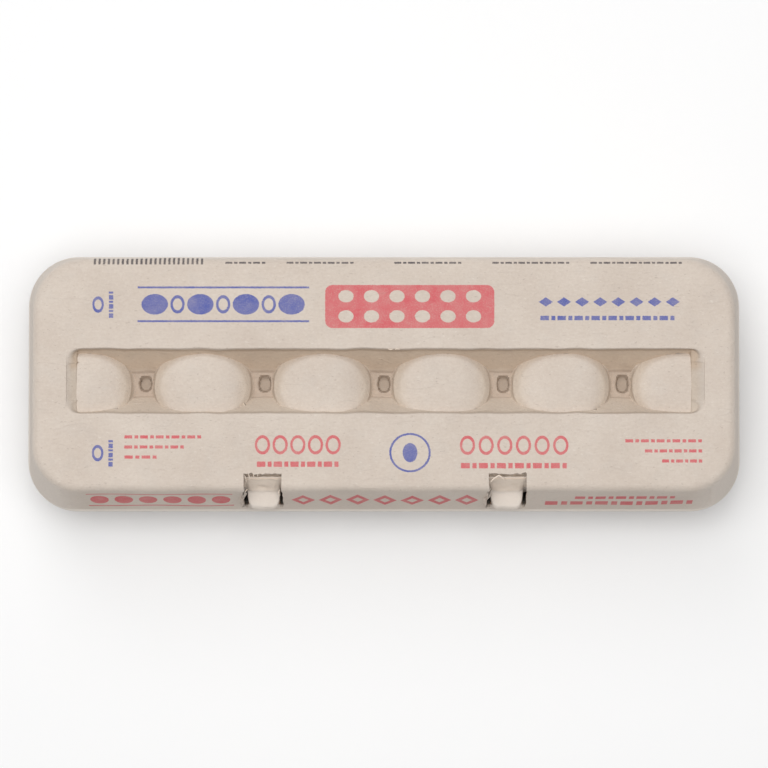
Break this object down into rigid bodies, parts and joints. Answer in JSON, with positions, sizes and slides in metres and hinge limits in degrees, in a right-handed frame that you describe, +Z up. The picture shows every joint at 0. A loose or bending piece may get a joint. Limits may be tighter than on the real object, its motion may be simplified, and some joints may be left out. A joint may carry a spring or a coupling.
{
  "type": "egg carton",
  "caption": "Shut moulded-pulp egg carton with flat lid, sunken trough of domes, front knob locks and a tray of tapered cups.",
  "frame": {"origin": "centre of the footprint, on the plane of the cups' flat feet", "axes": "+X along the carton, +Y towards the hinge at the back, +Z up; the locks are on the -Y side"},
  "size_m": [0.296, 0.106, 0.068],
  "materials": {
    "pulp": "matte"
  },
  "bodies": {
    "root": {"carton": "pulp"}
  },
  "joints": []
}
